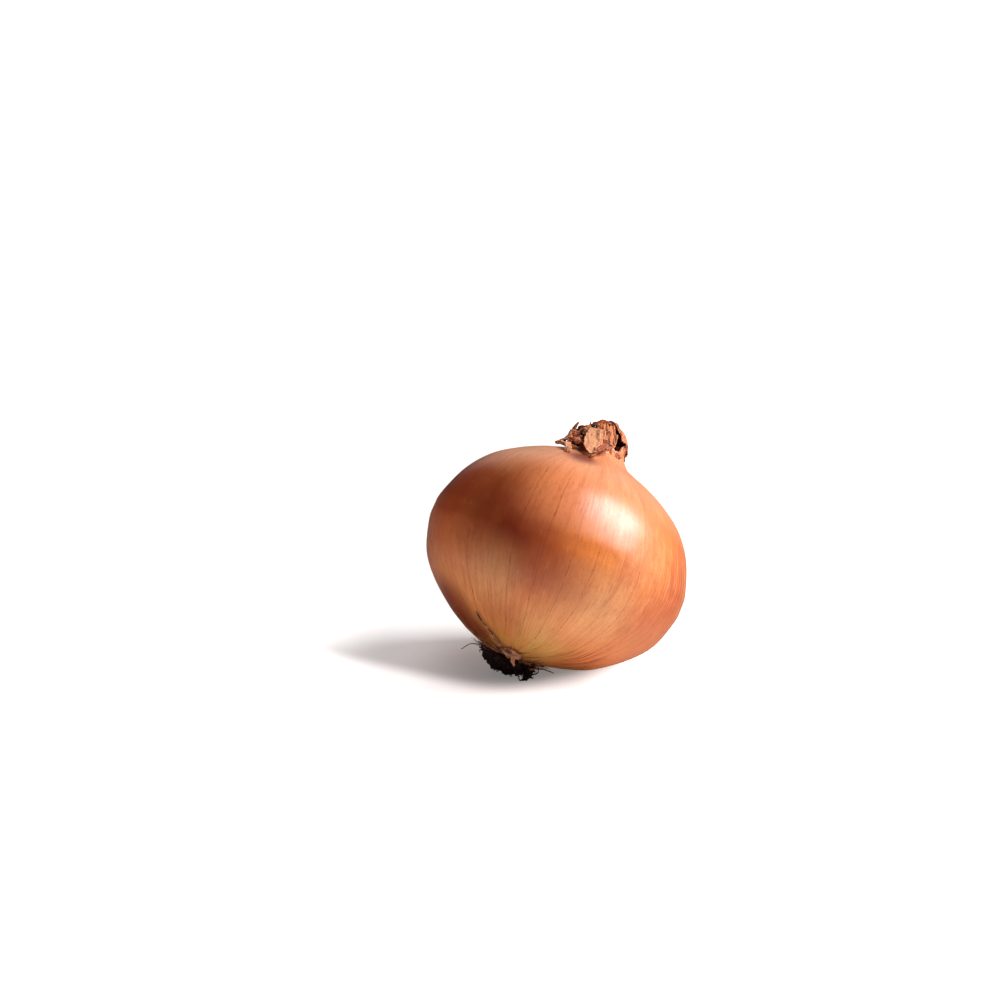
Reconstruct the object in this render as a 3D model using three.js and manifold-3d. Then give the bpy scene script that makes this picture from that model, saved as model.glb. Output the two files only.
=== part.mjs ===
// A brown onion at its real size, in millimetres, +Z up: the bulb in its papery skin, the torn dry leaf ends
// round its neck, and the dried roots at its other end. It lies tipped over on a small flat spot of the bulb,
// propped by its clump of roots. The origin is the middle of that flat spot.

import * as THREE from 'three';
import { mergeVertices } from 'three/addons/utils/BufferGeometryUtils.js';
import Module from 'manifold-3d';

// Driving dimensions, in millimetres and degrees
const BULB_RADIUS = 40;
const LEAN = 31.7;
const LEAN_HEADING = 42.6;
const FLAT_SPOT_DEPTH = 0.45;
const ROOT_END_SHIFT = 2.0;
const ROOT_END_SHIFT_FROM = 27;
const ROOT_END_SHIFT_TO = 32.5;
const LEAF_THICKNESS = 0.8;
const ROOT_RADIUS = 0.35;
const GAP = 0.3;

// How finely the round surfaces are faceted
const BULB_SIDES = 60;
const BULB_OUTLINE_STEPS = 34;
const STUMP_SIDES = 16;
const CLUMP_DETAIL = 1;
const OUTLINE_SEARCH_STEPS = 400;
const ROOT_SIDES = 6;
const WELD_DISTANCE = 1e-4;

// The bulb's outline from the root plate to the top of the neck, as [radius, height] in parts of BULB_RADIUS.
// Height 0 is the widest place.
const BULB_OUTLINE = [
  [0.000, -0.825],
  [0.162, -0.812],
  [0.262, -0.790],
  [0.350, -0.762],
  [0.435, -0.732],
  [0.585, -0.657],
  [0.790, -0.492],
  [0.920, -0.328],
  [0.992, -0.112],
  [1.000, 0.000],
  [0.988, 0.112],
  [0.900, 0.335],
  [0.770, 0.508],
  [0.610, 0.628],
  [0.455, 0.710],
  [0.320, 0.762],
  [0.240, 0.797],
  [0.195, 0.845],
  [0.160, 0.905],
];
const NECK_TOP = 0.915;

// The shrivelled stump's outline above the neck, as [radius, height] in millimetres
const STUMP_OUTLINE = [
  [0.0, 36.95],
  [4.6, 36.95],
  [4.4, 38.6],
  [3.2, 40.3],
  [1.6, 41.0],
  [0.0, 41.1],
];

// Torn leaf ends. A spine's points are [azimuth, distance from the neck's axis, height]; azimuth 0 is the front
// and 90 the right. widths are those at the root, the middle and the tip. facing is the way that the flat side
// looks, as [azimuth, elevation].
const LEAVES = {
  leaf_front_flap: {
    spine: [[-42, 7.0, 38.9], [-38, 9.0, 38.2], [-23, 13.0, 33.7], [-12.5, 17.2, 29.9]],
    widths: [4.0, 4.6, 2.0],
    facing: [-20, 35],
    colour: 0xe0a679,
  },
  leaf_front_fold: {
    spine: [[4, 7.7, 34.9], [3, 7.3, 37.4], [1, 6.2, 39.8], [-5, 4.8, 41.4]],
    widths: [4.8, 4.6, 3.2],
    facing: [0, 20],
    colour: 0xc98552,
  },
  leaf_left_ledge: {
    spine: [[-66, 8.8, 35.4], [-53, 12.4, 33.5], [-50, 17.8, 30.5]],
    widths: [2.8, 3.4, 1.6],
    facing: [35, 25],
    colour: 0x9a5a34,
  },
  leaf_hanging_strip: {
    spine: [[-43, 19.2, 30.0], [-36, 20.9, 28.7], [-28, 22.8, 27.0]],
    widths: [1.6, 1.8, 0.9],
    facing: [-35, 60],
    colour: 0xd99e66,
  },
  leaf_spike: {
    spine: [[-73, 10.8, 35.9], [-74, 11.2, 37.3], [-71, 10.6, 39.0]],
    widths: [1.5, 1.1, 0.5],
    facing: [0, 10],
    colour: 0x8a4a2c,
  },
  leaf_dark_curl: {
    spine: [[-98, 7.2, 37.2], [-83, 8.2, 38.4], [-69, 7.0, 40.2], [-57, 5.6, 41.3]],
    widths: [2.4, 2.6, 1.6],
    facing: [-75, 40],
    colour: 0x4a1f14,
  },
  leaf_top_fold: {
    spine: [[-95, 3.6, 42.4], [-45, 2.4, 43.3], [10, 1.8, 43.3]],
    widths: [2.4, 3.2, 2.2],
    facing: [-20, 75],
    colour: 0xa8683f,
  },
  leaf_right_fold: {
    spine: [[84, 6.2, 36.9], [84, 6.1, 38.6], [82, 5.0, 40.6], [78, 3.6, 42.0]],
    widths: [6.0, 5.4, 3.2],
    facing: [84, 25],
    colour: 0xc27d50,
  },
  leaf_back_right: {
    spine: [[134, 7.6, 35.4], [133, 7.4, 38.2], [130, 6.0, 41.0]],
    widths: [4.8, 4.4, 2.4],
    facing: [132, 15],
    colour: 0xb5744a,
  },
  leaf_back: {
    spine: [[178, 7.7, 35.4], [177, 8.4, 38.4], [172, 10.2, 40.6]],
    widths: [5.2, 4.8, 2.6],
    facing: [177, 0],
    colour: 0xc08353,
  },
  leaf_back_left: {
    spine: [[-134, 7.7, 35.4], [-135, 7.5, 38.2], [-138, 6.0, 41.2]],
    widths: [5.2, 4.6, 2.2],
    facing: [-135, 15],
    colour: 0xa9683c,
  },
};
const LEAF_STEPS_ACROSS = 2;
const LEAF_STEPS_ALONG = 10;

// The lumps that make up the matted clump of roots, as [x, y, z, radius]: x to the right, y to the back and z
// along the bulb's axis, from the bulb's middle. The lowest ones press flat on the surface.
const CLUMP_LUMPS = [
  [-8.7, 1.8, -32.8, 2.1],
  [-6.9, 3.0, -34.3, 2.5],
  [-3.9, 4.2, -34.9, 3.0],
  [-0.6, 4.8, -34.9, 3.0],
  [2.4, 4.2, -34.2, 2.8],
  [5.4, 2.4, -33.4, 2.5],
  [7.8, 3.0, -32.5, 1.9],
  [-4.2, 8.4, -34.3, 2.7],
  [-0.3, 8.7, -34.6, 2.8],
  [3.3, 7.2, -33.7, 2.7],
  [5.5, 0.9, -35.2, 1.6],
  [5.6, 0.0, -36.6, 1.6],
];

// Fine dried roots, as centre lines in the same axes as the clump
const ROOTS = {
  root_upper_long: [
    [-1.6, -4.6, -34.5],
    [-3.9, -8.6, -33.2],
    [-9.9, -14.0, -30.5],
    [-13.6, -15.7, -29.0],
    [-16.2, -17.2, -27.5],
  ],
  root_upper_short: [[-2.2, -6.4, -35.0], [-5.0, -10.2, -33.4], [-8.0, -13.6, -31.9]],
  root_left: [[-11.1, 1.2, -33.0], [-13.8, 0.9, -34.2], [-15.7, 0.9, -36.7]],
  root_right: [[9.0, -0.6, -32.4], [10.9, 1.2, -32.2], [12.6, 3.2, -31.9]],
  root_back_long: [[-2.6, 12.0, -34.8], [-4.5, 15.5, -33.0], [-6.5, 19.5, -31.0], [-7.5, 22.5, -30.2]],
  root_back_short: [[-6.0, 11.2, -34.2], [-7.6, 13.6, -33.0], [-8.8, 15.6, -31.8]],
};
const ROOT_STEPS = 12;

// The papery scrap at the root plate, as a leaf end in the axes of the clump
const CHIP = {
  spine: [[-8, 12.2, -32.2], [-2, 8.2, -33.8], [20, 3.2, -35.6]],
  widths: [3.0, 4.4, 1.4],
  facing: [0, -30],
  colour: 0xb98a68,
};

const wasm = await Module();
wasm.setup();

// A solid for joining and cutting, from a closed geometry
function toSolid(geometry) {
  const bare = geometry.clone();
  bare.deleteAttribute('normal');
  bare.deleteAttribute('uv');
  const welded = mergeVertices(bare, WELD_DISTANCE);
  const corners = [];
  for (let i = 0; i < welded.index.count; i += 3) {
    const [a, b, c] = [welded.index.getX(i), welded.index.getX(i + 1), welded.index.getX(i + 2)];
    if (a !== b && b !== c && c !== a) {
      corners.push(a, b, c);
    }
  }
  return new wasm.Manifold(new wasm.Mesh({
    numProp: 3,
    vertProperties: welded.attributes.position.array,
    triVerts: new Uint32Array(corners),
  }));
}

function toGeometry(solid) {
  const { vertProperties, triVerts } = solid.getMesh();
  const geometry = new THREE.BufferGeometry();
  geometry.setAttribute('position', new THREE.BufferAttribute(vertProperties, 3));
  geometry.setIndex(new THREE.BufferAttribute(triVerts, 1));
  geometry.computeVertexNormals();
  return geometry;
}

function named(name, geometry, colour, roughness) {
  const material = new THREE.MeshStandardMaterial({ color: colour, roughness, metalness: 0 });
  const mesh = new THREE.Mesh(geometry, material);
  mesh.name = name;
  return mesh;
}

// A point round the bulb's axis: azimuth 0 is the front, which is -Y, and 90 the right, which is +X
function roundAxis([azimuth, distance, height]) {
  const angle = THREE.MathUtils.degToRad(azimuth);
  return new THREE.Vector3(distance * Math.sin(angle), -distance * Math.cos(angle), height);
}

function direction([azimuth, elevation]) {
  const angle = THREE.MathUtils.degToRad(elevation);
  return roundAxis([azimuth, Math.cos(angle), Math.sin(angle)]);
}

// The bulb's outline as points, moved out by clearance
function bulbOutline(clearance, steps) {
  const corners = BULB_OUTLINE.map(([radius, height]) => (
    new THREE.Vector2(radius, height).multiplyScalar(BULB_RADIUS)
  ));
  const outline = new THREE.SplineCurve(corners).getPoints(steps);
  const moved = outline.map((point) => point.clone().setLength(point.length() + clearance));
  const top = NECK_TOP * BULB_RADIUS + clearance;
  return [...moved, new THREE.Vector2(0, top)].map((point) => new THREE.Vector2(Math.max(point.x, 0), point.y));
}

// A body of revolution with its axis along Z
function turned(outline, sides) {
  return new THREE.LatheGeometry(outline, sides).rotateX(Math.PI / 2);
}

// The bulb moved out by clearance, with its root end drawn a little to the left
function bulbGeometry(clearance) {
  const bulb = turned(bulbOutline(clearance, BULB_OUTLINE_STEPS), BULB_SIDES);
  const place = bulb.attributes.position;
  for (let i = 0; i < place.count; i += 1) {
    const share = THREE.MathUtils.smoothstep(-place.getZ(i), ROOT_END_SHIFT_FROM, ROOT_END_SHIFT_TO);
    place.setX(i, place.getX(i) - ROOT_END_SHIFT * share);
  }
  return bulb;
}

// A torn leaf end: a thin strip bent along its spine
function leafGeometry({ spine, widths, facing }) {
  const curve = new THREE.CatmullRomCurve3(spine.map(roundAxis));
  const outward = direction(facing);
  const strip = new THREE.BoxGeometry(1, 1, LEAF_THICKNESS, LEAF_STEPS_ACROSS, LEAF_STEPS_ALONG, 1);
  const place = strip.attributes.position;
  for (let i = 0; i < place.count; i += 1) {
    const along = place.getY(i) + 0.5;
    const tangent = curve.getTangent(along);
    const normal = outward.clone().addScaledVector(tangent, -outward.dot(tangent)).normalize();
    const across = new THREE.Vector3().crossVectors(tangent, normal);
    const [root, middle, tip] = widths;
    const width = along < 0.5
      ? THREE.MathUtils.lerp(root, middle, along * 2)
      : THREE.MathUtils.lerp(middle, tip, along * 2 - 1);
    const point = curve.getPoint(along)
      .addScaledVector(across, place.getX(i) * width)
      .addScaledVector(normal, place.getZ(i));
    place.setXYZ(i, point.x, point.y, point.z);
  }
  strip.computeVertexNormals();
  return strip;
}

// A fine root: a round tube along a smooth line
function rootGeometry(points) {
  const line = new THREE.CatmullRomCurve3(points.map((point) => new THREE.Vector3(...point)));
  const section = new THREE.Shape();
  section.absarc(0, 0, ROOT_RADIUS, 0, 2 * Math.PI);
  return new THREE.ExtrudeGeometry(section, {
    steps: ROOT_STEPS,
    curveSegments: ROOT_SIDES,
    extrudePath: line,
  });
}

// How the onion lies: its axis leans over towards the right and the back
const heading = THREE.MathUtils.degToRad(LEAN_HEADING);
const lean = THREE.MathUtils.degToRad(LEAN);
const leanAxis = new THREE.Vector3(-Math.sin(heading), Math.cos(heading), 0);
const turn = new THREE.Quaternion().setFromAxisAngle(leanAxis, lean);

// The lowest point of the leaning bulb, from its middle, is where the flat spot is pressed in
const lowest = bulbOutline(0, OUTLINE_SEARCH_STEPS).reduce((low, point) => {
  const depth = point.y * Math.cos(lean) - point.x * Math.sin(lean);
  return depth < low.depth ? { depth, point } : low;
}, { depth: Infinity, point: null });
const contactReach = lowest.point.x * Math.cos(lean) + lowest.point.y * Math.sin(lean);
const middle = new THREE.Vector3(
  -contactReach * Math.cos(heading),
  -contactReach * Math.sin(heading),
  -(lowest.depth + FLAT_SPOT_DEPTH),
);

const onion = new THREE.Group();
onion.quaternion.copy(turn);
onion.position.copy(middle);
onion.updateMatrixWorld(true);

// Everything below the surface that it lies on, in the onion's own axes
const floorBlock = new THREE.BoxGeometry(200, 200, 40).translate(0, 0, -20);
const floor = toSolid(floorBlock.applyMatrix4(onion.matrixWorld.clone().invert()));

const bulbSolid = toSolid(bulbGeometry(0)).subtract(floor);
onion.add(named('bulb', toGeometry(bulbSolid), 0xc8713c, 0.4));

onion.add(named(
  'neck_stump',
  turned(STUMP_OUTLINE.map(([radius, height]) => new THREE.Vector2(radius, height)), STUMP_SIDES),
  0x6d3a22,
  0.9,
));

for (const [name, leaf] of Object.entries(LEAVES)) {
  onion.add(named(name, leafGeometry(leaf), leaf.colour, 0.7));
}

const lumps = CLUMP_LUMPS.map(([x, y, z, radius]) => (
  toSolid(new THREE.IcosahedronGeometry(radius, CLUMP_DETAIL).translate(x, y, z))
));
const clearOfBulb = toSolid(bulbGeometry(GAP));
const clump = lumps
  .reduce((joined, lump) => joined.add(lump))
  .subtract(clearOfBulb)
  .subtract(floor);
onion.add(named('root_clump', toGeometry(clump), 0x2a1714, 0.95));

for (const [name, points] of Object.entries(ROOTS)) {
  onion.add(named(name, rootGeometry(points), 0x4a2c20, 0.9));
}
onion.add(named('root_chip', leafGeometry(CHIP), CHIP.colour, 0.8));

const part = new THREE.Group();
part.add(onion);

export default part;
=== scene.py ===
"""A brown onion, lying tipped over on a pale surface: papery skin, torn dry neck and a clump of dried roots.

Every piece is modelled in millimetres in the onion's own axes: the origin is the middle of the bulb, z runs
from the roots to the neck, azimuth 0 is the front and 90 the right. ONION_FRAME then lays it in the scene, in
metres.
"""

import enum
import logging
import math
import random
from collections.abc import Iterable, Sequence
from dataclasses import dataclass

import bmesh
import bpy
from mathutils import Matrix, Quaternion, Vector, noise
from mathutils.bvhtree import BVHTree


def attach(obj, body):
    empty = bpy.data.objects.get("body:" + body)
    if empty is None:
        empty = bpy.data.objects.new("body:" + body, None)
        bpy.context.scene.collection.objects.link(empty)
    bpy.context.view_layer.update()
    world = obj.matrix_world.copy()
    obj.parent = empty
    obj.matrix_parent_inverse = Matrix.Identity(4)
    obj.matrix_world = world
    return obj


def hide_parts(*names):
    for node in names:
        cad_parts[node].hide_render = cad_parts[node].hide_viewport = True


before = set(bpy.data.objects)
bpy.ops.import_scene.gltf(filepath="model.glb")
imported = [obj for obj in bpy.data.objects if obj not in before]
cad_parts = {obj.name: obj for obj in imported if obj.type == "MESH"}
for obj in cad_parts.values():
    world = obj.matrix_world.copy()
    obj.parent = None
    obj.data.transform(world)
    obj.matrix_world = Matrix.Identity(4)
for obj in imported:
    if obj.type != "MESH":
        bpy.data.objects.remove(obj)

LOG = logging.getLogger("onion")

MM = 0.001
BULB_RADIUS = 40.0
LEAN = math.radians(31.7)
LEAN_HEADING = math.radians(42.6)
BULB_MIDDLE = Vector((-3.9054, -3.5912, 34.2232)) * MM
LEAN_TURN = Quaternion((-math.sin(LEAN_HEADING), math.cos(LEAN_HEADING), 0.0), LEAN)
ONION_FRAME = Matrix.LocRotScale(BULB_MIDDLE, LEAN_TURN, Vector((MM, MM, MM)))
CREASE_SEED = 2
TUBE_MERGE = 0.002 * MM


class Slot(enum.Enum):
    """The record's material slots."""

    BULB_SKIN = "bulb_skin"
    DRY_LEAF = "dry_leaf"
    PALE_LEAF = "pale_leaf"
    DARK_LEAF = "dark_leaf"
    ROOT_CLUMP = "root_clump"
    DRIED_ROOT = "dried_root"


def hue(code: str) -> tuple[float, float, float, float]:
    """The linear colour of a hex code.

    Args:
        code: Six hex digits.

    Returns:
        Red, green, blue and 1.
    """
    parts = [int(code[i : i + 2], 16) / 255 for i in (0, 2, 4)]
    return (*[p / 12.92 if p <= 0.04045 else ((p + 0.055) / 1.055) ** 2.4 for p in parts], 1.0)


def ease(value: float, low: float, high: float) -> float:
    """How far a value has come from low to high, from 0 to 1, with a soft start and end."""
    share = min(max((value - low) / (high - low), 0.0), 1.0)
    return share * share * (3 - 2 * share)


def spread(table: Sequence[tuple[float, float]], value: float) -> float:
    """Reads a table of (place, amount) rows between its rows.

    Args:
        table: Rows in rising order of place.
        value: The place to read.

    Returns:
        The amount there, held at the table's ends.
    """
    for (low, a), (high, b) in zip(table, table[1:]):
        if value < high:
            return a + (b - a) * max(value - low, 0.0) / (high - low)
    return table[-1][1]


def on_line(points: Sequence[Vector], share: float) -> Vector:
    """A point of the smooth line through some points.

    Args:
        points: The points that the line passes through.
        share: How far along the line, from 0 to 1.

    Returns:
        The point.
    """
    place = min(max(share, 0.0), 1.0) * (len(points) - 1)
    i = min(int(place), len(points) - 2)
    t = place - i
    a, b, c, d = (points[min(max(k, 0), len(points) - 1)] for k in range(i - 1, i + 3))
    v0, v1 = (c - a) * 0.5, (d - b) * 0.5
    return (b * 2 - c * 2 + v0 + v1) * t**3 + (c * 3 - b * 3 - v0 * 2 - v1) * t**2 + v0 * t + b


def round_axis(azimuth: float, distance: float, height: float) -> Vector:
    """A point at an azimuth in degrees and a distance from the onion's axis, at a height."""
    angle = math.radians(azimuth)
    return Vector((distance * math.sin(angle), -distance * math.cos(angle), height))


def azimuth_of(point: Vector) -> float:
    """The azimuth of a point in degrees, from -180 to 180."""
    return math.degrees(math.atan2(point.x, -point.y))


def waver(*place: float) -> float:
    """Smooth noise from about -1 to 1 at a place."""
    return noise.noise(Vector(place))


def in_scene(name: str, data: bpy.types.ID) -> bpy.types.Object:
    """Puts a mesh, curve, light or camera in the scene.

    Args:
        name: The object's name.
        data: What the object holds.

    Returns:
        The object.
    """
    made = bpy.data.objects.new(name, data)
    bpy.context.scene.collection.objects.link(made)
    return made


def final_mesh(helper: bpy.types.Object) -> bpy.types.Mesh:
    """Takes the mesh that a helper object comes to, and removes the helper.

    Args:
        helper: An object with a curve, or with modifiers.

    Returns:
        The mesh.
    """
    bpy.context.view_layer.update()
    mesh = bpy.data.meshes.new_from_object(helper.evaluated_get(bpy.context.evaluated_depsgraph_get()))
    bpy.data.objects.remove(helper)
    return mesh


def new_piece(bm: bmesh.types.BMesh, name: str, material: bpy.types.Material) -> bpy.types.Object:
    """Turns a finished bmesh, already in the scene's metres, into a smooth shaded object.

    Args:
        bm: The mesh, which is freed.
        name: The object's name.
        material: Its finish.

    Returns:
        The object, at the origin.
    """
    mesh = bpy.data.meshes.new(name)
    bm.to_mesh(mesh)
    bm.free()
    mesh.polygons.foreach_set("use_smooth", [True] * len(mesh.polygons))
    mesh.materials.append(material)
    return in_scene(name, mesh)


def seat(piece: bpy.types.Object, slot: Slot, *nodes: str) -> bpy.types.Object:
    """Gives a piece its body, and hides the CAD nodes that it stands for.

    Args:
        piece: The piece, in place.
        slot: Its material slot; not used.
        *nodes: The CAD nodes that it replaces.

    Returns:
        The same piece.
    """
    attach(piece, "root")
    if nodes:
        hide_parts(*nodes)
    LOG.info("%s: %d faces", piece.name, len(piece.data.polygons))
    return piece


def add_tubes(bm: bmesh.types.BMesh, lines: Iterable[Sequence[tuple[Vector, float]]],
              resolution: int = 0) -> None:
    """Adds closed round tubes along lines to a mesh, in metres.

    Args:
        bm: The mesh.
        lines: Each line's points with the tube's radius there.
        resolution: How finely the tubes are rounded.
    """
    curve = bpy.data.curves.new("tubes", "CURVE")
    curve.dimensions = "3D"
    curve.bevel_depth = 1.0
    curve.bevel_resolution = resolution
    curve.use_fill_caps = True
    for line in lines:
        spline = curve.splines.new("POLY")
        spline.points.add(len(line) - 1)
        for corner, (point, radius) in zip(spline.points, line):
            corner.co = (*point, 1.0)
            corner.radius = radius
    bm.from_mesh(final_mesh(in_scene("tubes", curve)))
    bpy.data.curves.remove(curve)
    bmesh.ops.remove_doubles(bm, verts=bm.verts, dist=TUBE_MERGE)


class Finish:
    """A node material, with short ways to add nodes to it."""

    def __init__(self, name: str) -> None:
        """Starts an empty material.

        Args:
            name: The material's name.
        """
        self.material = bpy.data.materials.new(name)
        self.material.use_nodes = True
        self.tree = self.material.node_tree
        self.tree.nodes.clear()

    def add(self, kind: str, inputs: dict | None = None, **settings: object) -> bpy.types.Node:
        """Adds a node.

        Args:
            kind: The node's type without its "ShaderNode".
            inputs: Values or sockets for its inputs, by name or number.
            **settings: The node's own settings.

        Returns:
            The node.
        """
        node = self.tree.nodes.new("ShaderNode" + kind)
        for key, value in settings.items():
            setattr(node, key, value)
        for key, value in (inputs or {}).items():
            if isinstance(value, bpy.types.NodeSocket):
                self.tree.links.new(value, node.inputs[key])
            else:
                node.inputs[key].default_value = value
        return node

    def math(self, operation: str, *values: object) -> bpy.types.NodeSocket:
        """The result of a Math node on numbers or sockets."""
        return self.add("Math", dict(enumerate(values)), operation=operation).outputs[0]

    def vector(self, operation: str, *values: object, result: str = "Vector") -> bpy.types.NodeSocket:
        """The result of a Vector Math node, "Vector" or, for a length or distance, "Value"."""
        return self.add("VectorMath", dict(enumerate(values)), operation=operation).outputs[result]

    def swing(self, value: bpy.types.NodeSocket, amount: float) -> bpy.types.NodeSocket:
        """Turns a noise value into one that swings to both sides of 0, by half an amount each way."""
        return self.math("MULTIPLY", self.math("SUBTRACT", value, 0.5), amount)

    def span(self, value: bpy.types.NodeSocket, low: float, high: float, start: float = 0.0,
             end: float = 1.0) -> bpy.types.NodeSocket:
        """Maps a value that goes from low to high to one that goes softly from start to end."""
        inputs = {0: value, 1: low, 2: high, 3: start, 4: end}
        return self.add("MapRange", inputs, interpolation_type="SMOOTHSTEP").outputs[0]

    def noise(self, place: bpy.types.NodeSocket, scale: float, detail: float = 2.0, roughness: float = 0.5,
              distortion: float = 0.0) -> bpy.types.NodeSocket:
        """A noise value from 0 to 1 at a place."""
        inputs = {"Vector": place, "Scale": scale, "Detail": detail, "Roughness": roughness,
                  "Distortion": distortion}
        return self.add("TexNoise", inputs).outputs["Fac"]

    def tint(self, colour: object, code: str, share: object) -> bpy.types.NodeSocket:
        """Lays the colour of a hex code over another colour, by a share that may be a number or a socket."""
        return self.add("Mix", {0: share, 6: colour, 7: hue(code)}, data_type="RGBA").outputs[2]

    def ramp(self, value: bpy.types.NodeSocket, stops: Sequence[tuple[float, str]]) -> bpy.types.NodeSocket:
        """A colour from a value, by a ramp.

        Args:
            value: The value to look up.
            stops: The ramp's places and hex codes, in rising order.

        Returns:
            The colour.
        """
        node = self.add("ValToRGB", {0: value})
        elements = node.color_ramp.elements
        while len(elements) < len(stops):
            elements.new(0.5)
        for element, (place, code) in zip(elements, stops):
            element.position = place
            element.color = hue(code)
        return node.outputs[0]

    def onion_place(self) -> bpy.types.NodeSocket:
        """The place in the onion's own axes, in parts of the bulb's radius."""
        inputs = {"Vector": self.add("TexCoord").outputs["Object"], "Location": BULB_MIDDLE,
                  "Rotation": LEAN_TURN.to_euler(), "Scale": (BULB_RADIUS * MM,) * 3}
        return self.add("Mapping", inputs, vector_type="TEXTURE").outputs[0]

    def finish(self, colour: object, roughness: object, height: object, bump: tuple[float, float],
               **sockets: object) -> bpy.types.Material:
        """Ends the material in a Principled shader.

        Args:
            colour: The base colour.
            roughness: The roughness.
            height: The height that the bump follows.
            bump: The bump's strength, and its height in millimetres.
            **sockets: More of the shader's own sockets, with underscores for spaces.

        Returns:
            The material.
        """
        relief = self.add("Bump", {"Strength": bump[0], "Distance": bump[1] * MM, "Height": height})
        inputs = {"Base Color": colour, "Roughness": roughness, "Normal": relief.outputs[0]}
        inputs.update({key.replace("_", " "): value for key, value in sockets.items()})
        shader = self.add("BsdfPrincipled", inputs)
        self.add("OutputMaterial", {0: shader.outputs[0]})
        return self.material


class Streaks(enum.Enum):
    """Streaks along the skin: how fine they are around the bulb and along it, and the noise's detail."""

    BROAD = (4.0, 1.1, 3.0)
    BANDS = (14.0, 1.6, 2.0)
    MOTTLE = (26.0, 12.0, 3.0)
    FINE = (46.0, 2.6, 3.0)
    FINEST = (120.0, 7.0, 2.0)
    GRAIN = (95.0, 42.0, 3.0)
    RED = (58.0, 2.2, 2.0)
    VEIN_BREAKS = (9.0, 7.0, 2.0)
    VEIN_BEADS = (30.0, 26.0, 2.0)
    SMALL_VEIN_BREAKS = (17.0, 4.0, 2.0)


class Height(enum.Enum):
    """The height along the onion's axis, as it is or made uneven by the broad streaks."""

    EVEN = enum.auto()
    UNEVEN = enum.auto()


@dataclass(frozen=True)
class Tint:
    """A colour laid over the skin as what it follows goes from low to high."""

    follows: Streaks | Height
    low: float
    high: float
    strength: float
    colour: str


@dataclass(frozen=True)
class Zone:
    """A part of the skin with a tint laid over it, round a centre in parts of the bulb's radius. Some zones
    are the skin's own colour; some are painted shade, painted shadow or painted light.
    """

    centre: tuple[float, float, float]
    reach: tuple[float, float]
    strength: float
    colour: str
    streaky: bool = False


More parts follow.
